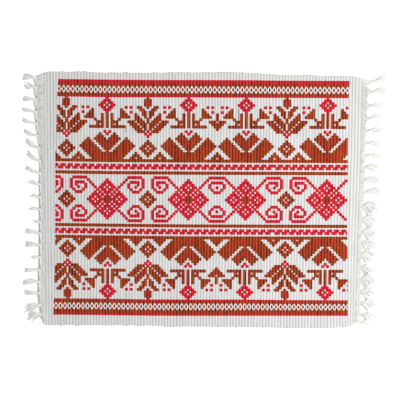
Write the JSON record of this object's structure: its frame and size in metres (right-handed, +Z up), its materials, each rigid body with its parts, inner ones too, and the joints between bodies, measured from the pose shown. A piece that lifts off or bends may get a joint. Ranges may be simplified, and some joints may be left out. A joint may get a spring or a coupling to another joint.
{
  "type": "fringed table runner",
  "caption": "Flat rectangular ribbed cotton table runner or place mat with printed folk bands and tied fringe along both short ends.",
  "frame": {"origin": "centre of the runner's footprint, on the surface that it lies on", "axes": "+X along the runner's length towards its right fringe, +Y across it towards its far selvedge, +Z up out of the printed face"},
  "size_m": [0.5063, 0.3556, 0.0028],
  "materials": {
    "ribbed_cotton": "matt ribbed cotton, off-white, printed in crimson and rust brown",
    "fringe_cotton": "matt unprinted cotton warp yarn"
  },
  "bodies": {
    "root": {"cloth": "ribbed_cotton", "fringe_left": "fringe_cotton", "fringe_right": "fringe_cotton"}
  },
  "joints": []
}
